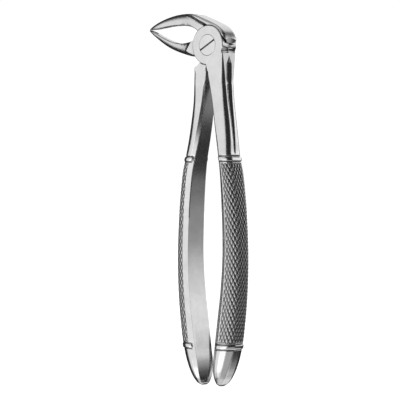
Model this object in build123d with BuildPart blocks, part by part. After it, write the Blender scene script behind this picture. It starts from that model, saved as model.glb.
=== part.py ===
from build123d import *
from math import acos, cos, radians, sin
import os

os.makedirs("parts", exist_ok=True)

# Frame: hinge axis along Y, handles hang down -Z, beaks reach out along -X.
# The origin is where the hinge axis meets the rear face of the joint.

# Joint, mm
JOINT_T = 10.0
MID = -JOINT_T / 2
DISC_R = 9.15
DISC_EDGE = 0.45
ROOT_STEP = 0.8
LAP_GAP = 0.10
RIM_GAP = 0.30
PROUD = 0.35
LEVER_B = (JOINT_T - PROUD) / 2
UPPER_Y = -LEVER_B
LOWER_Y = -JOINT_T + LEVER_B

# Screw, mm
HEAD_R = 4.90
HEAD_T = 1.80
SHANK_R = 3.00
THREAD_R = 2.50
THREAD_END = -0.30
SLOT_W = 0.80
SLOT_DEPTH = 1.00
SLOT_ANGLE = 28
HEAD_FIT = 0.06
BORE_FIT = 0.04

# Handles, mm
HANDLE_MID_X = -0.75
RING_TOP_Z = -52.8
RING_END_Z = -139.6
RING_H = 1.9
RING_RISE = 0.45
FLUTE_SLOPE = 2.0
FLUTE_RUN = 3.8
FLUTE_EDGE = 0.02
FLUTE = [(-16, 0.95), (-26, 0.80), (-36, 0.62), (-44, 0.46), (-49.5, 0.34), (-51.2, FLUTE_EDGE)]
LEFT_FLUTE_Z = -10.8
RIGHT_FLUTE_Z = -5.2

# Beak groove, mm
GROOVE_R = 1.5
GROOVE_DEPTH = 0.45


def polar(radius, angle):
    """Point on the joint face, angle from +X towards +Z"""
    return (radius * cos(radians(angle)), radius * sin(radians(angle)))


def level(side, inner_x, y, z):
    """Level plane on a handle's inner face, x pointing away from the other handle"""
    return Plane(origin=(inner_x, y, z), x_dir=(side, 0, 0), z_dir=(0, 0, 1))


def bar(stations, ruled=False):
    """Forged bar through sections of plane, thickness, half width, inner edge bevel and outer edge radius"""
    with BuildPart() as body:
        for plane, thick, half, bevel_x, bevel_y, outer_r in stations:
            with BuildSketch(plane) as section:
                with BuildLine():
                    Polyline(
                        (0, 0), (0, half - bevel_y), (bevel_x, half), (thick, half), (thick, 0)
                    )
                    mirror(about=Plane.XZ)
                make_face()
                fillet(section.vertices().group_by(Axis.X)[-1], outer_r)
        loft(ruled=ruled)
    return body.part


def groove(planes, radius):
    """Round-bottomed cutter through level or tilted stations, with ball ends"""
    with BuildPart() as cutter:
        for plane in planes:
            with BuildSketch(plane):
                Circle(radius)
        loft()
        with Locations(planes[0].origin, planes[-1].origin):
            Sphere(radius)
    return cutter.part


# Grip: level, distance of the inner face from the middle, thickness, half width, bevel, edge radius
GRIP = [
    (-52, 7.00, 6.6, 5.90, 1.9, 1.00, 3.6),
    (-58, 8.15, 7.1, 6.30, 2.1, 1.05, 4.4),
    (-68, 9.30, 7.5, 6.45, 2.2, 1.10, 4.8),
    (-82, 10.20, 8.0, 6.55, 2.3, 1.10, 5.1),
    (-99, 10.50, 8.3, 6.70, 2.3, 1.10, 5.3),
    (-114, 9.50, 8.8, 6.90, 2.4, 1.10, 5.5),
    (-128, 7.70, 9.2, 7.10, 2.5, 1.15, 5.7),
    (-141, 5.80, 8.9, 7.00, 2.5, 1.15, 5.5),
]
CAP = [
    (-141, 5.80, 8.9, 7.00, 2.5, 1.15, 5.5),
    (-147, 4.80, 8.0, 6.70, 2.2, 1.10, 5.0),
    (-152, 4.40, 6.3, 5.90, 1.6, 0.90, 4.2),
    (-155.5, 4.40, 4.4, 4.40, 1.0, 0.70, 3.0),
    (-157.8, 4.70, 2.3, 2.40, 0.5, 0.40, 1.5),
]
# Shanks: level, inner face x, thickness, half width, bevel, edge radius; the first two are the shoulder
RIGHT_SHANK = [
    (-3.9, -1.25, 10.4, LEVER_B, 0.20, 0.20, 0.5),
    (-16, 0.90, 8.2, LEVER_B, 0.25, 0.20, 2.6),
    (-26, 3.00, 7.0, LEVER_B, 0.40, 0.30, 3.1),
    (-36, 4.50, 6.8, 5.05, 0.80, 0.50, 3.4),
    (-44, 5.50, 6.7, 5.40, 1.30, 0.80, 3.5),
    (-52, 6.25, 6.6, 5.90, 1.90, 1.00, 3.6),
]
LEFT_SHANK = [
    (-9.9, -1.10, 7.6, LEVER_B, 0.50, 0.40, 1.5),
    (-16, -1.80, 7.4, LEVER_B, 0.60, 0.50, 2.0),
    (-26, -3.00, 7.3, LEVER_B, 0.90, 0.80, 2.8),
    (-36, -4.40, 7.4, 5.05, 1.50, 1.20, 3.3),
    (-44, -5.85, 7.3, 5.40, 1.80, 1.20, 3.6),
    (-52, -7.75, 6.6, 5.90, 1.90, 1.00, 3.6),
]
# Beaks: inner face point x and z, outer face point x and z, half width, inner bevel, crown height
UPPER_BEAK = [
    (-39.4, 9.45, -39.3, 10.05, 1.00, 0.15, 0.35),
    (-35.5, 9.50, -36.4, 11.75, 1.70, 0.25, 1.60),
    (-31.0, 9.90, -31.9, 13.45, 1.90, 0.30, 2.30),
    (-25.5, 10.35, -26.1, 14.90, 2.00, 0.35, 2.90),
    (-19.5, 10.35, -19.7, 15.70, 2.25, 0.35, 3.30),
    (-14.3, 9.75, -13.6, 15.60, 2.55, 0.35, 3.50),
    (-6.6, 5.60, -2.2, 11.30, 2.70, 0.35, 3.70),
]
LOWER_BEAK = [
    (-39.4, 9.35, -39.8, 8.70, 1.00, 0.15, 0.40),
    (-36.3, 8.00, -37.4, 6.70, 1.70, 0.25, 1.10),
    (-32.3, 6.00, -33.8, 4.10, 1.90, 0.30, 2.00),
    (-27.8, 4.00, -29.3, 1.30, 2.00, 0.35, 2.60),
    (-22.8, 2.35, -23.9, -1.20, 2.15, 0.35, 2.80),
    (-17.0, 1.75, -17.6, -3.30, 2.45, 0.35, 3.10),
    (-7.6, 1.90, -7.6, -4.20, 2.70, 0.35, 3.30),
]
CROWN_FLAT = 0.15
# Flare of a beak's sides into the joint, mm
NECK_B = 1.80
FLARE_OUTER_R = 1.5
FLARE_INNER_R = 4.2

# Scoop in the end of the band, mm
SCOOP_R = 16.0
SCOOP_X = 25.85
SCOOP_Z = 0.9
SCOOP_TILT = 7.0

# Groove round the joint where the discs meet, and the flat step in the discs' rims, mm
LAP_BEVEL = 0.35
STEP_R = 8.95
STEP_FROM = 348
STEP_TO = 339


def handle(side, shank, y):
    """Shank, grip and rounded end of one lever"""
    shoulder = [(level(side, row[1], y, row[0]),) + row[2:] for row in shank[:2]]
    arm = [
        (level(side, row[1], y + (MID - y) * max(0, (-26 - row[0]) / 26), row[0]),) + row[2:]
        for row in shank[1:]
    ]
    grip = [(level(side, HANDLE_MID_X + side * row[1], MID, row[0]),) + row[2:] for row in GRIP]
    cap = [(level(side, HANDLE_MID_X + side * row[1], MID, row[0]),) + row[2:] for row in CAP]
    return [bar(shoulder, ruled=True), bar(arm), bar(grip), bar(cap)]


def ring(side, z, gap, thick, half, outer_r):
    """Half-round ring round the outer side of a grip"""
    x = HANDLE_MID_X + side * (gap + 0.5)
    sunk = (thick - 1.2, half - 0.7, 1.9, 0.9, outer_r - 0.5)
    crest = (thick - 0.5 + RING_RISE, half + RING_RISE, 1.9, 1.4, outer_r)
    return bar(
        [
            (level(side, x, MID, z + RING_H),) + sunk,
            (level(side, x, MID, z),) + crest,
            (level(side, x, MID, z - RING_H),) + sunk,
        ]
    )


def flute(side, shank, top_z):
    """V-shaped hollow down the outer side of a shank, running out at both ends"""
    with BuildPart() as cutter:
        for z, depth in [(top_z, FLUTE_EDGE), (top_z - FLUTE_RUN, FLUTE[0][1])] + FLUTE:
            above = [row for row in shank if row[0] >= z][-1]
            below = [row for row in shank if row[0] < z][0]
            share = (z - above[0]) / (below[0] - above[0])
            inner_x = above[1] + (below[1] - above[1]) * share
            thick = above[2] + (below[2] - above[2]) * share
            with BuildSketch(level(side, inner_x + side * thick, MID, z)):
                half = FLUTE_SLOPE * (depth + 1)
                Polygon((-depth, 0), (1, half), (1, -half), align=None)
        loft(ruled=True)
    return cutter.part


def across_beak(row, lift=0.0):
    """Plane across a beak at one station, x pointing from its inner to its outer face"""
    xi, zi, xo, zo = row[:4]
    across = Vector(xo - xi, 0, zo - zi).normalized()
    origin = Vector(xi, MID, zi) - across * lift
    return Plane(origin=origin, x_dir=across, z_dir=across.cross(Vector(0, 1, 0)))


def beak(rows):
    """Beak through sections that stand across its curve, with an elliptical crown on its back"""
    with BuildPart() as body:
        for row in rows:
            thick = Vector(row[2] - row[0], 0, row[3] - row[1]).length
            half, bevel, crown = row[4:]
            with BuildSketch(across_beak(row)):
                with BuildLine():
                    Polyline((0, 0), (0, half - bevel), (bevel, half), (thick - crown, half))
                    EllipticalCenterArc((thick - crown, CROWN_FLAT), crown, half - CROWN_FLAT)
                    Line((thick, CROWN_FLAT), (thick, 0))
                    mirror(about=Plane.XZ)
                make_face()
        loft()
    return body.part


def beak_groove(rows):
    """Long hollow in a beak's inner face"""
    return groove([across_beak(row, GROOVE_R - GROOVE_DEPTH) for row in rows[1:5]], GROOVE_R)


def flare(point, along):
    """Full joint width on one side of a line, drawn in to the beak's neck on the other"""
    direction = Vector(cos(radians(along)), 0, sin(radians(along)))
    plane = Plane(
        origin=(point[0], MID, point[1]), x_dir=direction.cross(Vector(0, 1, 0)), z_dir=direction
    )
    turn = acos(1 - (LEVER_B - NECK_B) / (FLARE_OUTER_R + FLARE_INNER_R))
    start = (-FLARE_OUTER_R * sin(turn), LEVER_B)
    middle = (0, LEVER_B - FLARE_OUTER_R * (1 - cos(turn)))
    end = (FLARE_INNER_R * sin(turn), NECK_B)
    with BuildPart() as body:
        with BuildSketch(plane):
            with BuildLine():
                Line((-30, 0), (-30, LEVER_B))
                Line((-30, LEVER_B), start)
                TangentArc(start, middle, tangent=(1, 0))
                TangentArc(end, middle, tangent=(-1, 0))
                Line(end, (30, NECK_B))
                Line((30, NECK_B), (30, 0))
                mirror(about=Plane.XZ)
            make_face()
        extrude(amount=30, both=True)
    return body.part


UPPER_HANDLE = handle(-1, LEFT_SHANK, UPPER_Y)
LOWER_HANDLE = handle(1, RIGHT_SHANK, LOWER_Y)
LEFT_RINGS = [ring(-1, RING_TOP_Z, 7.2, 6.65, 5.95, 3.8), ring(-1, RING_END_Z, 6.0, 8.9, 7.0, 5.5)]
RIGHT_RINGS = [ring(1, RING_TOP_Z, 7.2, 6.65, 5.95, 3.8), ring(1, RING_END_Z, 6.0, 8.9, 7.0, 5.5)]
LEFT_FLUTE = flute(-1, LEFT_SHANK, LEFT_FLUTE_Z)
RIGHT_FLUTE = flute(1, RIGHT_SHANK, RIGHT_FLUTE_Z)
UPPER_BLADE = beak(UPPER_BEAK)
LOWER_BLADE = beak(LOWER_BEAK)
UPPER_FLARE = flare((-6.5, 11.7), 150.5).moved(Location((0, -MID - LEVER_B, 0)))
LOWER_FLARE = flare((-13.05, -1.15), 54).moved(Location((0, MID + LEVER_B, 0)))
UPPER_GROOVE = beak_groove(UPPER_BEAK)
LOWER_GROOVE = beak_groove(LOWER_BEAK)

# Groove and step that both discs have in their rims
with BuildPart() as rim_cuts:
    with BuildSketch(Plane.XY):
        Polygon(
            (DISC_R - LAP_BEVEL, MID), (DISC_R + 0.1, MID - LAP_BEVEL - 0.1),
            (DISC_R + 0.1, MID + LAP_BEVEL + 0.1), align=None,
        )
    revolve(axis=Axis.Y)
    with BuildSketch(Plane.XZ):
        Polygon(
            polar(STEP_R, STEP_FROM), polar(9.6, STEP_FROM), polar(9.6, STEP_TO),
            polar(STEP_R, STEP_TO), align=None,
        )
    extrude(amount=JOINT_T)

# Band of the upper lever that wraps over the joint, and the root of the upper beak
with BuildPart() as band:
    with BuildSketch(Plane.XZ):
        with BuildLine():
            Line(polar(7, 4), polar(10.45, 4))
            Spline(
                polar(10.45, 4), polar(10.4, 25), polar(10.2, 48), polar(10.5, 76),
                (-2.6, 12.3), (-9.0, 14.75), (-13.8, 15.10), (-18.0, 13.7), (-20.6, 11.9),
            )
            Line((-20.6, 11.9), (-20.4, 10.9))
            Spline((-20.4, 10.9), (-14.5, 10.2), (-10.4, 8.4), polar(9.7, 142))
            Line(polar(9.7, 142), polar(7, 142))
            Line(polar(7, 142), polar(7, 4))
        make_face()
    extrude(amount=2 * LEVER_B)
    outside = band.faces().sort_by_distance((0, UPPER_Y, 11))[0]
    fillet(outside.edges().filter_by(Axis.Y, reverse=True), 1.15)
    add(UPPER_FLARE, mode=Mode.INTERSECT)
    with Locations(
        Plane(
            origin=(SCOOP_X, MID, SCOOP_Z),
            z_dir=(sin(radians(SCOOP_TILT)), 0, cos(radians(SCOOP_TILT))),
        )
    ):
        Cylinder(SCOOP_R, 30, mode=Mode.SUBTRACT)

# Front disc
with BuildPart() as front_disc:
    with BuildSketch(Plane.XZ.offset(-MID + LAP_GAP / 2)):
        Circle(DISC_R)
    extrude(amount=-MID - LAP_GAP / 2)
    fillet(front_disc.edges().group_by(Axis.Y)[0], DISC_EDGE)

# Root of the lower beak, a step below the disc's face
with BuildPart() as root:
    with BuildSketch(Plane.XZ.offset(PROUD)):
        with BuildLine():
            Line(polar(7, 164), polar(9.7, 165))
            Line(polar(9.7, 165), (-18.4, 1.5))
            Line((-18.4, 1.5), (-18.2, 0.4))
            Spline((-18.2, 0.4), (-13.6, -3.1), polar(10.2, 208))
            Line(polar(10.2, 208), polar(9.3, 209.5))
            Line(polar(9.3, 209.5), polar(7, 209.5))
            Line(polar(7, 209.5), polar(7, 164))
        make_face()
    extrude(amount=2 * LEVER_B - ROOT_STEP)
    outside = root.faces().sort_by_distance((-12.0, LOWER_Y, -4.4))[0]
    fillet(outside.edges().filter_by(Axis.Y, reverse=True), 1.15)
    add(LOWER_FLARE, mode=Mode.INTERSECT)

# Upper beak, rear disc and left handle
with BuildPart() as upper_beak_lever:
    add(band.part)
    with BuildSketch(Plane.XZ):
        Polygon(
            polar(7, 238), polar(9.6, 238), (-6.6, -9.5), (-8.3, -10.4), (-8.4, -12),
            (-1.6, -12), (-0.95, -9.3), polar(7, 264), align=None,
        )
    extrude(amount=2 * LEVER_B)
    for piece in UPPER_HANDLE + LEFT_RINGS + [UPPER_BLADE]:
        add(piece)
    add(UPPER_GROOVE, mode=Mode.SUBTRACT)
    add(LEFT_FLUTE, mode=Mode.SUBTRACT)
    with BuildSketch(Plane.XZ.offset(-MID - LAP_GAP / 2)):
        Circle(DISC_R + RIM_GAP)
    extrude(amount=JOINT_T, mode=Mode.SUBTRACT)
    with BuildSketch(Plane.XZ):
        Circle(DISC_R)
    extrude(amount=-MID - LAP_GAP / 2)
    add(rim_cuts.part, mode=Mode.SUBTRACT)
    with BuildSketch(Plane.XZ):
        Circle(THREAD_R)
    extrude(amount=JOINT_T, mode=Mode.SUBTRACT)

# Lower beak, front disc and right handle
with BuildPart() as lower_beak_lever:
    add(root.part)
    with BuildSketch(Plane.XZ.offset(PROUD)):
        with BuildLine():
            Polyline(
                polar(7, 300), (4, -12), (0.1, -12), (-0.75, -9.0), polar(7, 266), polar(7, 300),
            )
        make_face()
    extrude(amount=2 * LEVER_B)
    for piece in LOWER_HANDLE + RIGHT_RINGS + [LOWER_BLADE]:
        add(piece)
    add(LOWER_GROOVE, mode=Mode.SUBTRACT)
    add(RIGHT_FLUTE, mode=Mode.SUBTRACT)
    with BuildSketch(Plane.XZ.offset(-MID + LAP_GAP / 2)):
        Circle(DISC_R + RIM_GAP)
    extrude(amount=-JOINT_T, mode=Mode.SUBTRACT)
    add(front_disc.part)
    add(rim_cuts.part, mode=Mode.SUBTRACT)
    with BuildSketch(Plane.XZ.offset(-MID)):
        Circle(SHANK_R + BORE_FIT)
    extrude(amount=JOINT_T, mode=Mode.SUBTRACT)
    with BuildSketch(Plane.XZ.offset(JOINT_T - HEAD_T - HEAD_FIT)):
        Circle(HEAD_R + HEAD_FIT)
    extrude(amount=JOINT_T, mode=Mode.SUBTRACT)

# Slotted screw, threaded into the rear disc
with BuildPart() as joint_screw:
    with BuildSketch(Plane.XZ.offset(-THREAD_END)):
        Circle(THREAD_R)
    extrude(amount=JOINT_T - HEAD_T + THREAD_END)
    with BuildSketch(Plane.XZ.offset(-MID + LAP_GAP / 2)):
        Circle(SHANK_R)
    extrude(amount=JOINT_T + MID - LAP_GAP / 2 - HEAD_T)
    with BuildSketch(Plane.XZ.offset(JOINT_T - HEAD_T)):
        Circle(HEAD_R)
    extrude(amount=HEAD_T)
    chamfer(joint_screw.edges().group_by(Axis.Y)[0], 0.15)
    with BuildSketch(Plane.XZ.offset(JOINT_T - SLOT_DEPTH)):
        Rectangle(2 * HEAD_R + 1, SLOT_W, rotation=SLOT_ANGLE)
    extrude(amount=SLOT_DEPTH, mode=Mode.SUBTRACT)

upper_beak_lever.part.label = "upper_beak_lever"
lower_beak_lever.part.label = "lower_beak_lever"
joint_screw.part.label = "joint_screw"

export_step(upper_beak_lever.part, "parts/upper_beak_lever.step")
export_step(lower_beak_lever.part, "parts/lower_beak_lever.step")
export_step(joint_screw.part, "parts/joint_screw.step")
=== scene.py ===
import math

import bpy
import bmesh
import numpy as np
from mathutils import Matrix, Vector


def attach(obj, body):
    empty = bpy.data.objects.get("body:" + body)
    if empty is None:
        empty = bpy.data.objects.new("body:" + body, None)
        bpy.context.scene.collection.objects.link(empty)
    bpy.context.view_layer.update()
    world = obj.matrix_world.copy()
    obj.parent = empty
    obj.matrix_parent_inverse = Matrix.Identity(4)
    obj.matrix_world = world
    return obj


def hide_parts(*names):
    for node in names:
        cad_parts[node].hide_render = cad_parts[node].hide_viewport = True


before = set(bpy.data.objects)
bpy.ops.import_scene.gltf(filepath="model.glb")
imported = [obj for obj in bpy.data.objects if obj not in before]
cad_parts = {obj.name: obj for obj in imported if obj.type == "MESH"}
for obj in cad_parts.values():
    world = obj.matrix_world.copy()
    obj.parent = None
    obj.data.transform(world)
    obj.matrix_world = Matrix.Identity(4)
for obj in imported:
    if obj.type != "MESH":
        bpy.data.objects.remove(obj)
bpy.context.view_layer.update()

# Sizes are in millimetres in the CAD's frame; meshes are made in metres
MM = 0.001
JOINT_T = 10.0
MID = -JOINT_T / 2
HANDLE_MID_X = -0.75

# Handles: level, inner face from the middle, thickness, half width, depth and width of the inner
# bevel, outer edge radius
LEFT_SHANK = [
    (-16, 1.05, 7.4, 4.825, 0.60, 0.50, 2.0),
    (-26, 2.25, 7.3, 4.825, 0.90, 1.00, 3.2),
    (-36, 3.60, 7.4, 5.35, 1.40, 1.50, 4.1),
    (-44, 5.15, 7.3, 5.60, 1.70, 1.50, 4.4),
]
RIGHT_SHANK = [
    (-16, 1.65, 8.2, 4.825, 0.25, 0.20, 2.6),
    (-26, 3.65, 7.1, 4.900, 0.40, 0.30, 3.1),
    (-36, 4.95, 7.1, 5.20, 0.80, 0.50, 3.5),
    (-44, 6.10, 6.8, 5.50, 1.30, 0.80, 3.6),
]
GRIP = [
    (-52, 7.00, 6.6, 5.95, 1.9, 1.50, 3.6),
    (-58, 8.15, 7.1, 6.35, 2.1, 1.50, 4.4),
    (-68, 9.30, 7.5, 6.50, 2.2, 1.30, 4.8),
    (-82, 10.20, 8.0, 6.55, 2.3, 1.10, 5.1),
    (-99, 10.50, 8.3, 6.70, 2.3, 1.10, 5.3),
    (-114, 9.50, 8.8, 6.90, 2.4, 1.10, 5.5),
    (-128, 7.70, 9.2, 7.10, 2.5, 1.15, 5.7),
    (-141, 5.80, 8.9, 7.00, 2.5, 1.15, 5.5),
    (-147, 4.80, 8.0, 6.70, 2.2, 1.10, 5.0),
    (-152, 4.40, 6.3, 5.90, 1.6, 0.90, 4.2),
    (-155.5, 4.40, 4.4, 4.40, 1.0, 0.70, 3.0),
    (-157.3, 4.60, 2.7, 2.90, 0.6, 0.45, 1.8),
    (-158.1, 4.85, 1.2, 1.30, 0.3, 0.20, 0.7),
]

# Handles start a little below the level where the CAD shapes are cut off, and a strip joins the two;
# the last point of a handle is this far below its last section
CUT_Z = -18.0
START_Z = -18.4
TIP_Z = -158.1
TIP_ROUND = 0.12

# Points round half a section, and steps between the sections at the beads, in the knurl and elsewhere
OUTER_POINTS = 84
BEVEL_POINTS = 8
FACE_POINTS = 10
BEAD_REACH = 2.0
BEAD_STEP = 0.08
KNURL_STEP = 0.15
PLAIN_STEP = 0.3

# Each shank starts on its own lever's mid-plane and reaches the handle's mid-plane at the grip
JOINT_SHIFT = 0.175
SHIFT_TOP_Z = -26
SHIFT_END_Z = -52

# V-shaped flute down the outer side of each shank: half width per depth, then level and depth
FLUTE_SLOPE = 2.0
FLUTE = [(-16, 0.95), (-26, 0.80), (-36, 0.62), (-44, 0.46), (-49.5, 0.34), (-51.2, 0.0)]

# Rings: half-round beads between two fine grooves, fading out on the inner bevel. A groove's middle
# is this far off the bead, and a ring ends this far past the edge of the bevel
RINGS = (-52.8, -139.6)
RING_RISE = 0.45
RING_HALF = 1.15
RING_GROOVE = 0.16
RING_GROOVE_OFF = 0.15
RING_GROOVE_HALF = 0.45
RING_PAST_EDGE = 1.8
RING_FADE = 0.6

# Dished inner face of each rounded end: levels of its top, deepest place and end, and its depth;
# its side walls take up this share of the face's half width
DISH_TOP_Z = -132.0
DISH_LOW_Z = -156.2
DISH_END_Z = -157.2
DISH_DEPTH = 1.60
DISH_POWER = 1.5
DISH_WALL = 0.15

# Knurl: two families of grooves that leave raised diamonds, spaced so far around and along a handle.
# The width is half a groove's, as a share of the pitch
KNURL_TOP = -54.6
KNURL_END = -137.9
KNURL_END_FADE = 0.40
KNURL_AROUND = 1.86
KNURL_ALONG = 3.50
KNURL_DEPTH = 0.30
KNURL_WIDTH = 0.40
KNURL_POWER = 1.6
KNURL_MARGIN = 0.15
KNURL_SIDE_FADE = 0.35

# Painted shade over the whole knurled area, as a groove share, and the distance that marks a point of
# the inner face
KNURL_AREA_SHADE = 0.40
FACE_MARK = 9.0

# Corner normals: flat areas of these sizes (mm2) are kept exactly flat: front and rear faces, the
# shoulders below the joint, and elsewhere; edges sharper than these angles are not smoothed
FACE_AREA = 1.0
SHOULDER_AREA = 10.0
FLAT_AREA = 30.0
COPLANAR_DEG = 0.4
FRONTAL = 0.999
SHOULDER_Z = -3.5
SHARP_DEG = 32
SHOULDER_SHARP_DEG = 24

# The scoop's rim in the end of the band is kept sharp as well: where it lies, and its least angle
SCOOP_MIN_X = 8.9
SCOOP_LOW_Z = 0.5
SCOOP_TOP_Z = 6.5
SCOOP_SHARP_DEG = 15

# Distances in metres: points this close are welded, and shorter edges are dropped
WELD = 2e-7
NOTHING = 1e-7


def smooth_rows(rows, z):
    """Rows of a station table at levels z, on a cubic through the stations"""
    rows = np.array(rows)[::-1]
    at, values = rows[:, 0], rows[:, 1:]
    slope = np.gradient(values, at, axis=0)
    i = np.clip(np.searchsorted(at, z) - 1, 0, len(at) - 2)
    step = (at[i + 1] - at[i])[:, None]
    t = ((z - at[i]) / step[:, 0])[:, None]
    return (
        (2 * t**3 - 3 * t**2 + 1) * values[i]
        + (t**3 - 2 * t**2 + t) * step * slope[i]
        + (3 * t**2 - 2 * t**3) * values[i + 1]
        + (t**3 - t**2) * step * slope[i + 1]
    )


def half_outline(thick, half, bevel_x, bevel_y, outer_r):
    """Half a section from the outer side's middle to the inner face's middle

    Gives the points, their outward directions, the distance round from the middle of the outer side,
    and the distance short of the edge where the inner bevel starts.
    """
    flat = half - outer_r
    arc = outer_r * math.pi / 2
    side = thick - outer_r - bevel_x
    s = np.linspace(0, flat + arc + side, OUTER_POINTS)
    turn = np.clip((s - flat) / outer_r, 0, math.pi / 2)
    x = np.where(s < flat, thick, thick - outer_r + outer_r * np.cos(turn))
    x = np.where(s > flat + arc, thick - outer_r - (s - flat - arc), x)
    y = np.where(s < flat, s, flat + outer_r * np.sin(turn))
    long = math.hypot(bevel_x, bevel_y)
    down = np.linspace(0, 1, BEVEL_POINTS + 1)[1:]
    along = np.linspace(1, 0, FACE_POINTS + 1)[1:]
    on_face = np.ones(FACE_POINTS)
    xs = np.concatenate([x, bevel_x * (1 - down), 0 * on_face])
    ys = np.concatenate([y, half - bevel_y * down, (half - bevel_y) * along])
    nx = np.concatenate([np.cos(turn), np.full(BEVEL_POINTS, -bevel_y / long), -on_face])
    ny = np.concatenate([np.sin(turn), np.full(BEVEL_POINTS, bevel_x / long), 0 * on_face])
    around = np.concatenate([s, s[-1] + long * down, (s[-1] + long) * on_face])
    edge = np.concatenate([s[-1] - s, -long * down, -FACE_MARK * on_face])
    return xs, ys, nx, ny, around, edge


def whole(half, sign=1):
    """Values round a whole section from those of its half, the other half's being of this sign"""
    return np.r_[half, sign * half[-2:0:-1]]


def groove(phase):
    """Depth share of a rounded groove whose lines lie at whole phases"""
    away = np.abs(phase - np.round(phase))
    return (1 - np.clip(away / KNURL_WIDTH, 0, 1)) ** KNURL_POWER


def levels():
    """Levels of a handle's rings of points, finest at the beads and in the knurl"""
    z = [START_Z]
    while z[-1] > TIP_Z:
        near_ring = min(abs(z[-1] - ring) for ring in RINGS) < BEAD_REACH
        in_knurl = KNURL_END < z[-1] < KNURL_TOP
        z.append(z[-1] - (BEAD_STEP if near_ring else KNURL_STEP if in_knurl else PLAIN_STEP))
    z[-1] = TIP_Z
    return np.array(z)


def cut_flute(x, y, thick, level):
    """Outer face cut back to the two walls of the flute"""
    at, depth = np.array(FLUTE)[::-1].T
    bottom = thick - np.interp(level, at, depth) + np.abs(y) / FLUTE_SLOPE
    return np.minimum(x, bottom)


def dish(y, edge, face_half, level):
    """Depth of the hollow in the inner face of a rounded end"""
    share = np.interp(level, [DISH_END_Z, DISH_LOW_Z, DISH_TOP_Z], [0, 1, 0])
    inward = np.clip((1 - np.abs(y) / face_half) / DISH_WALL, 0, 1)
    return DISH_DEPTH * share**DISH_POWER * inward * (edge == -FACE_MARK)


def beads(edge, level):
    """Rise of the rings' beads, and depth share of the fine grooves beside them"""
    outside = np.clip((edge + RING_PAST_EDGE) / RING_FADE, 0, 1)
    rise = 0
    line = 0
    for ring in RINGS:
        off = abs(level - ring)
        rise += RING_RISE * math.sqrt(max(0, 1 - (off / RING_HALF) ** 2))
        line += max(0, 1 - abs(off - RING_HALF - RING_GROOVE_OFF) / RING_GROOVE_HALF)
    return rise * outside, line * outside


def knurl(around, edge, level):
    """Depth share of the knurl's grooves, and the share of the knurled area"""
    one = groove(around / KNURL_AROUND + level / KNURL_ALONG)
    other = groove(around / KNURL_AROUND - level / KNURL_ALONG)
    area = np.clip((edge - KNURL_MARGIN) / KNURL_SIDE_FADE, 0, 1)
    area = area * np.clip((KNURL_TOP - level) / KNURL_END_FADE, 0, 1)
    area = area * np.clip((level - KNURL_END) / KNURL_END_FADE, 0, 1)
    return (1 - (1 - one) * (1 - other)) * area, area


def section(side, level, row):
    """Points of one whole section of a handle, and their groove shares, which paint shade into the
    grooves and the knurled area
    """
    gap, thick, half, bevel_x, bevel_y, outer_r = row
    x, y, nx, ny, around, edge = half_outline(thick, half, bevel_x, bevel_y, outer_r)
    x, nx, edge = whole(x), whole(nx), whole(edge)
    y, ny, around = whole(y, -1), whole(ny, -1), whole(around, -1)
    x = cut_flute(x, y, thick, level) + dish(y, edge, half - bevel_y, level)
    bead, line = beads(edge, level)
    cut, area = knurl(around, edge, level)
    rise = bead - KNURL_DEPTH * cut - RING_GROOVE * line
    below = np.clip((SHIFT_TOP_Z - level) / (SHIFT_TOP_Z - SHIFT_END_Z), 0, 1)
    px = HANDLE_MID_X + side * (gap + x + nx * rise)
    py = MID - side * JOINT_SHIFT * (1 - below) + y + ny * rise
    # Groove share: the material paints shade into the knurl's grooves and the fine ring grooves from it,
    # and fainter shade over the whole knurled area, and adds roughness
    groove_shade_share = np.maximum(np.maximum(cut, line), KNURL_AREA_SHADE * area)
    return np.c_[px, py, np.full_like(px, level)], groove_shade_share


def handle_mesh(side, shank):
    """Points, faces and groove shares (painted groove shade) of one handle below the cut, and the size
    of its open top ring
    """
    z = levels()
    rows = smooth_rows(shank + GRIP, z)
    sections = [section(side, level, row) for level, row in zip(z, rows)]
    rings = [points for points, groove_shade_share in sections]
    tip = rings[-1].mean(axis=0) - (0, 0, TIP_ROUND)
    points = np.vstack(rings + [tip])
    groove_shade_share = np.r_[np.concatenate([groove_shade_share for points, groove_shade_share in sections]), 0]
    count = len(rings[0])
    last = (len(rings) - 1) * count
    a = np.arange(count)
    b = (a + 1) % count
    quads = np.vstack([np.c_[a, b, b + count, a + count] + start for start in range(0, last, count)])
    cap = [(last + (i + 1) % count, len(points) - 1, last + i) for i in range(count)]
    return points * MM, quads.tolist() + cap, groove_shade_share, count


def flat_regions(bm):
    """Normals of the large flat areas that each vertex of a mesh belongs to"""
    owner = list(range(len(bm.faces)))

    def root(i):
        while owner[i] != i:
            owner[i] = owner[owner[i]]
            i = owner[i]
        return i

    for edge in bm.edges:
        if len(edge.link_faces) == 2 and edge.calc_face_angle() < math.radians(COPLANAR_DEG):
            first, second = (root(face.index) for face in edge.link_faces)
            owner[first] = second
    area = {}
    for face in bm.faces:
        area[root(face.index)] = area.get(root(face.index), 0) + face.calc_area()
    flats = {}
    for face in bm.faces:
        low = face.calc_center_median().z < SHOULDER_Z * MM
        frontal = abs(face.normal.y) > FRONTAL
        least = FACE_AREA if frontal else SHOULDER_AREA if low else FLAT_AREA
        if area[root(face.index)] > least * MM**2:
            for vert in face.verts:
                flats.setdefault(vert, {})[root(face.index)] = face.normal.copy()
    return flats


def creased(edge):
    """Whether an edge of a shoulder, or of the scoop in the band's end, is to stay sharp"""
    ends = [vert.co / MM for vert in edge.verts]
    if all(CUT_Z < end.z < SHOULDER_Z for end in ends):
        return edge.calc_face_angle(0) > math.radians(SHOULDER_SHARP_DEG)
    if all(end.x > SCOOP_MIN_X and SCOOP_LOW_Z < end.z < SCOOP_TOP_Z for end in ends):
        return edge.calc_face_angle(0) > math.radians(SCOOP_SHARP_DEG)
    return False


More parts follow.
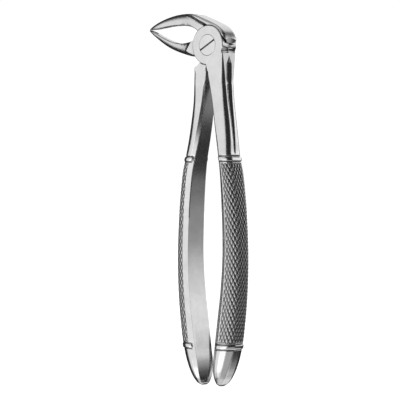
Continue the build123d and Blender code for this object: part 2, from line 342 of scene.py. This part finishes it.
def joint_half(cad_node):
    """The CAD node's beak and joint half, open where its handle is cut off"""
    bm = bmesh.new()
    bm.from_mesh(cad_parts[cad_node].data)
    bmesh.ops.remove_doubles(bm, verts=bm.verts, dist=WELD)
    bmesh.ops.bisect_plane(
        bm, geom=bm.verts[:] + bm.edges[:] + bm.faces[:], dist=NOTHING,
        plane_co=(0, 0, CUT_Z * MM), plane_no=(0, 0, -1), clear_outer=True,
    )
    bmesh.ops.dissolve_degenerate(bm, edges=bm.edges, dist=NOTHING)
    bm.normal_update()
    bm.faces.index_update()
    return bm


def add_handle(bm, side, shank, share):
    """Join a handle to the open end of a joint half, with its groove shares, which paint shade into its
    grooves, in a layer
    """
    rim = [edge for edge in bm.edges if edge.is_boundary]
    points, faces, groove_shade_share, count = handle_mesh(side, shank)
    new = [bm.verts.new(point) for point in points.tolist()]
    for vert, value in zip(new, groove_shade_share.tolist()):
        vert[share] = value
    for face in faces:
        bm.faces.new([new[i] for i in face])
    top = [bm.edges.get((new[i], new[(i + 1) % count])) for i in range(count)]
    bmesh.ops.bridge_loops(bm, edges=rim + top)
    bmesh.ops.recalc_face_normals(bm, faces=bm.faces)
    bm.verts.index_update()
    bm.edges.index_update()


def keep_flats(mesh, flats):
    """Smooth corner normals, but exact ones on the flat areas"""
    normals = [(0, 0, 0)] * len(mesh.loops)
    limit = math.cos(math.radians(SHOULDER_SHARP_DEG))
    for polygon in mesh.polygons:
        for index in polygon.loop_indices:
            near = flats.get(mesh.loops[index].vertex_index, [])
            best = max(near, key=polygon.normal.dot, default=None)
            if best is not None and polygon.normal.dot(best) > limit:
                normals[index] = tuple(best)
    mesh.normals_split_custom_set(normals)


def lever(name, cad_node, side, shank, body):
    """One forged lever: the CAD node's beak and joint half, and a finely cut handle"""
    bm = joint_half(cad_node)
    # This layer carries the groove shares: painted shade in the grooves and the knurled area, and extra
    # roughness
    share = bm.verts.layers.float.new("groove")
    flats = flat_regions(bm)
    add_handle(bm, side, shank, share)
    creases = [edge.index for edge in bm.edges if creased(edge)]
    flats = {vert.index: list(normals.values()) for vert, normals in flats.items()}
    mesh = bpy.data.meshes.new(name)
    bm.to_mesh(mesh)
    bm.free()
    mesh.shade_smooth()
    mesh.set_sharp_from_angle(angle=math.radians(SHARP_DEG))
    for index in creases:
        mesh.edges[index].use_edge_sharp = True
    keep_flats(mesh, flats)
    piece = bpy.data.objects.new(name, mesh)
    bpy.context.collection.objects.link(piece)
    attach(piece, body)
    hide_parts(cad_node)
    return piece


# Spacing of shader nodes in the editor
NODE_GAP = 200


def node(tree, kind, at, **values):
    """A shader node at a grid place with its properties set"""
    made = tree.nodes.new(kind)
    made.location = (at[0] * NODE_GAP, at[1] * -NODE_GAP)
    for key, value in values.items():
        setattr(made, key, value)
    return made


def ranged(tree, at, source, low, high, out_low, out_high, curve="LINEAR"):
    """Map Range node from low..high to out_low..out_high, clamped"""
    made = node(tree, "ShaderNodeMapRange", at, interpolation_type=curve)
    for key, value in (("From Min", low), ("From Max", high), ("To Min", out_low), ("To Max", out_high)):
        made.inputs[key].default_value = value
    tree.links.new(source, made.inputs["Value"])
    return made.outputs[0]


def maths(tree, at, operation, *sources):
    """Math node fed by sockets or plain numbers"""
    made = node(tree, "ShaderNodeMath", at, operation=operation)
    for place, source in zip(made.inputs, sources):
        if isinstance(source, bpy.types.NodeSocket):
            tree.links.new(source, place)
        else:
            place.default_value = source
    return made.outputs[0]


def noise(tree, at, vector, scale, detail):
    """Noise texture node's factor"""
    made = node(tree, "ShaderNodeTexNoise", at)
    made.inputs["Scale"].default_value = scale
    made.inputs["Detail"].default_value = detail
    tree.links.new(vector, made.inputs["Vector"])
    return made.outputs["Fac"]


# Steel: how far the grinding lines are drawn out, noise scales per metre, and spreads of tone
LINES_STRETCH = (900, 900, 120)
LINES_SCALE = 6.0
CLOUD_SCALE = 240.0
GRAIN_SCALE = 3600.0
TONE_SPREAD = 0.03
GRAIN_SPREAD = 0.05
ROUGH_LESS = 0.04
ROUGH_MORE = 0.05
NODE_SAMPLES = 6

# Low and high end of the noises, of groove shares, of an edge's pointiness and of a crevice's openness
NOISE_RANGE = (0.3, 0.7)
SHARE_RANGE = (0.05, 0.95)
POINTY_RANGE = (0.52, 0.60)
OPEN_RANGE = (0.20, 0.90)

# Painted shade: tone of a groove's bottom and of a crevice; extra roughness of a groove, and brightness
# of worn edges
GROOVE_SHADE_TONE = 0.20
GROOVE_ROUGH = 0.22
CREVICE_SHADE_TONE = 0.22
CREVICE = 0.0020
WORN = 0.05

# Rounding of edges and depth of the fine relief, in metres
EDGE_RADIUS = 0.00018
BUMP_DEPTH = 0.00003
BUMP_STRENGTH = 0.12


def steel(name, tone, rough):
    """Satin forged steel: fine grinding lines, cloudy polish, worn bright edges, rougher grooves with
    painted shade, painted shade in crevices
    """
    mat = bpy.data.materials.new(name)
    mat.use_nodes = True
    tree = mat.node_tree
    tree.nodes.clear()
    link = tree.links.new
    out = node(tree, "ShaderNodeOutputMaterial", (9, 0))
    bsdf = node(tree, "ShaderNodeBsdfPrincipled", (7, 0))
    bsdf.inputs["Metallic"].default_value = 1.0
    link(bsdf.outputs[0], out.inputs[0])
    coord = node(tree, "ShaderNodeTexCoord", (-4, 0))
    stretch = node(tree, "ShaderNodeMapping", (-3, 1))
    stretch.inputs["Scale"].default_value = LINES_STRETCH
    link(coord.outputs["Object"], stretch.inputs["Vector"])
    lines = noise(tree, (-2, 1), stretch.outputs[0], LINES_SCALE, 3.0)
    cloud = noise(tree, (-2, 2), coord.outputs["Object"], CLOUD_SCALE, 4.0)
    grain = noise(tree, (-2, 3), coord.outputs["Object"], GRAIN_SCALE, 2.0)
    depth = node(tree, "ShaderNodeAttribute", (-2, 4), attribute_name="groove").outputs["Fac"]
    shape = node(tree, "ShaderNodeNewGeometry", (-2, 5)).outputs["Pointiness"]
    worn = ranged(tree, (-1, 5), shape, *POINTY_RANGE, 0.0, WORN)
    # Painted shade: ambient occlusion darkens the colour in crevices, such as round the disc and between
    # the parts
    hollow = node(tree, "ShaderNodeAmbientOcclusion", (-2, 6), samples=NODE_SAMPLES)
    hollow.inputs["Distance"].default_value = CREVICE
    painted_crevice_shade = ranged(tree, (-1, 6), hollow.outputs["AO"], *OPEN_RANGE, CREVICE_SHADE_TONE, 1.0)
    # Painted shade: the colour is darkened by the groove share, down to this tone at a groove's bottom
    painted_groove_shade = ranged(tree, (-1, 4), depth, *SHARE_RANGE, 1.0, GROOVE_SHADE_TONE)
    base = ranged(tree, (0, 2), cloud, *NOISE_RANGE, tone - TONE_SPREAD, tone + TONE_SPREAD)
    speck = ranged(tree, (0, 3), grain, *NOISE_RANGE, 1 - GRAIN_SPREAD, 1 + GRAIN_SPREAD)
    value = maths(tree, (1, 2), "MULTIPLY", maths(tree, (1, 3), "MULTIPLY", base, speck), painted_groove_shade)
    value = maths(tree, (2, 2), "MULTIPLY", maths(tree, (2, 3), "ADD", value, worn), painted_crevice_shade)
    grey = node(tree, "ShaderNodeCombineColor", (3, 2))
    for channel in range(3):
        link(value, grey.inputs[channel])
    link(grey.outputs[0], bsdf.inputs["Base Color"])
    gloss = ranged(tree, (0, 1), lines, *NOISE_RANGE, rough - ROUGH_LESS, rough + ROUGH_MORE)
    gloss = maths(tree, (2, 1), "ADD", gloss, maths(tree, (1, 1), "MULTIPLY", depth, GROOVE_ROUGH))
    link(gloss, bsdf.inputs["Roughness"])
    edge = node(tree, "ShaderNodeBevel", (0, -1), samples=NODE_SAMPLES)
    edge.inputs["Radius"].default_value = EDGE_RADIUS
    bump = node(tree, "ShaderNodeBump", (3, -1))
    bump.inputs["Strength"].default_value = BUMP_STRENGTH
    bump.inputs["Distance"].default_value = BUMP_DEPTH
    link(maths(tree, (1, -1), "ADD", lines, grain), bump.inputs["Height"])
    link(edge.outputs[0], bump.inputs["Normal"])
    link(bump.outputs[0], bsdf.inputs["Normal"])
    return mat


def dress(piece, mat):
    """One material over the whole piece"""
    piece.data.materials.clear()
    piece.data.materials.append(mat)


lever_steel = steel("lever_steel_satin", tone=0.68, rough=0.21)
screw_steel = steel("screw_steel_satin", tone=0.70, rough=0.22)
upper = lever("upper_lever_forging", "upper_beak_lever", -1, LEFT_SHANK, "upper_lever")
lower = lever("lower_lever_forging", "lower_beak_lever", 1, RIGHT_SHANK, "lower_lever")
dress(upper, lever_steel)
dress(lower, lever_steel)
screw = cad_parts["joint_screw"]
for place in screw.material_slots:
    place.material = screw_steel

# Floor: pale, bright and plain, below the part
FLOOR_Z = -0.200
FLOOR_SIZE = 30
FLOOR_TONE = 0.9
FLOOR_ROUGH = 0.9
bpy.ops.mesh.primitive_plane_add(size=FLOOR_SIZE, location=(0, 0, FLOOR_Z))
floor = bpy.context.object
floor.name = "studio_floor"
white = bpy.data.materials.new("floor_white")
white.use_nodes = True
paper = white.node_tree.nodes["Principled BSDF"]
paper.inputs["Base Color"].default_value = (FLOOR_TONE, FLOOR_TONE, FLOOR_TONE, 1)
paper.inputs["Roughness"].default_value = FLOOR_ROUGH
paper.inputs["Emission Color"].default_value = (1, 1, 1, 1)
paper.inputs["Emission Strength"].default_value = FLOOR_TONE
floor.data.materials.append(white)
floor.visible_glossy = False
floor.visible_diffuse = False

# World: the camera sees a white backdrop; the metal sees soft panels, and dim light between them.
# Panels: azimuth and elevation of the middle, half sizes, softness of each (degrees), strength
PANELS = [
    (-6, -8, 50, 31, 7, 14, 1.03),
    (8, -32, 28, 20, 8, 8, 1.0),
    (84, -36, 40, 16, 10, 8, 0.50),
    (157, 14, 25, 14, 9, 12, 1.35),
    (-160, 30, 26, 16, 10, 6, 0.95),
    (-130, -3, 20, 5, 5, 3, 1.0),
    (164, -46, 32, 14, 8, 7, 0.90),
    (-15, 45, 38, 22, 12, 12, 0.55),
    (0, 90, 180, 24, 1, 10, 0.50),
    (0, -90, 180, 34, 1, 12, 0.80),
]
AMBIENT = 0.03
BACKDROP = 1.05
world = bpy.data.worlds.new("studio")
bpy.context.scene.world = world
world.use_nodes = True
tree = world.node_tree
tree.nodes.clear()
link = tree.links.new
out = node(tree, "ShaderNodeOutputWorld", (8, 0))
mix = node(tree, "ShaderNodeMixShader", (7, 0))
link(mix.outputs[0], out.inputs[0])
path = node(tree, "ShaderNodeLightPath", (5, 2))
link(path.outputs["Is Camera Ray"], mix.inputs[0])
studio = node(tree, "ShaderNodeBackground", (6, 1))
link(studio.outputs[0], mix.inputs[1])
backdrop = node(tree, "ShaderNodeBackground", (6, -1))
backdrop.inputs[0].default_value = (1, 1, 1, 1)
backdrop.inputs[1].default_value = BACKDROP
link(backdrop.outputs[0], mix.inputs[2])
coord = node(tree, "ShaderNodeTexCoord", (-4, 0))
split = node(tree, "ShaderNodeSeparateXYZ", (-3, 0))
link(coord.outputs["Generated"], split.inputs[0])
ahead = maths(tree, (-2, 1), "MULTIPLY", split.outputs["Y"], -1.0)
turned = maths(tree, (-1, 0), "ARCTAN2", split.outputs["X"], ahead)
turned = maths(tree, (0, 0), "MULTIPLY", turned, math.degrees(1))
raised = maths(tree, (-1, 2), "ARCSINE", split.outputs["Z"])
raised = maths(tree, (0, 2), "MULTIPLY", raised, math.degrees(1))
total = AMBIENT
for row, (az, el, az_half, el_half, az_soft, el_soft, strength) in enumerate(PANELS):
    lane = 3 + 2 * row
    off = maths(tree, (1, lane), "SUBTRACT", turned, az)
    off = maths(tree, (2, lane), "ABSOLUTE", maths(tree, (2, lane), "WRAP", off, 180.0, -180.0))
    lift = maths(tree, (1, lane + 1), "ABSOLUTE", maths(tree, (1, lane + 1), "SUBTRACT", raised, el))
    wide = ranged(tree, (3, lane), off, az_half - az_soft, az_half + az_soft, strength, 0, "SMOOTHSTEP")
    tall = ranged(tree, (3, lane + 1), lift, el_half - el_soft, el_half + el_soft, 1, 0, "SMOOTHSTEP")
    total = maths(tree, (5, lane), "ADD", total, maths(tree, (4, lane), "MULTIPLY", wide, tall))
link(total, studio.inputs[0])

# Camera level with the part, looking at its front and right side: its place and the width it sees in
# metres, its sensor in millimetres
AZIMUTH = 41.0
DISTANCE = 0.900
WIDTH = 0.186
SENSOR = 36.0
NEAREST = 0.01
FARTHEST = 40.0
CENTRE_ACROSS = -0.00656
CENTRE_Z = -0.07184
azimuth = math.radians(AZIMUTH)
facing = Vector((math.sin(azimuth), -math.cos(azimuth), 0))
across = Vector((math.cos(azimuth), math.sin(azimuth), 0))
target = Vector((0, MID * MM, CENTRE_Z)) + across * CENTRE_ACROSS
camera_data = bpy.data.cameras.new("camera")
camera = bpy.data.objects.new("camera", camera_data)
bpy.context.collection.objects.link(camera)
camera.location = target + facing * DISTANCE
camera.rotation_euler = (target - camera.location).to_track_quat("-Z", "Y").to_euler()
camera_data.sensor_width = SENSOR
camera_data.lens = SENSOR * DISTANCE / WIDTH
camera_data.clip_start = NEAREST
camera_data.clip_end = FARTHEST
bpy.context.scene.camera = camera
bpy.context.scene.view_settings.view_transform = "Standard"
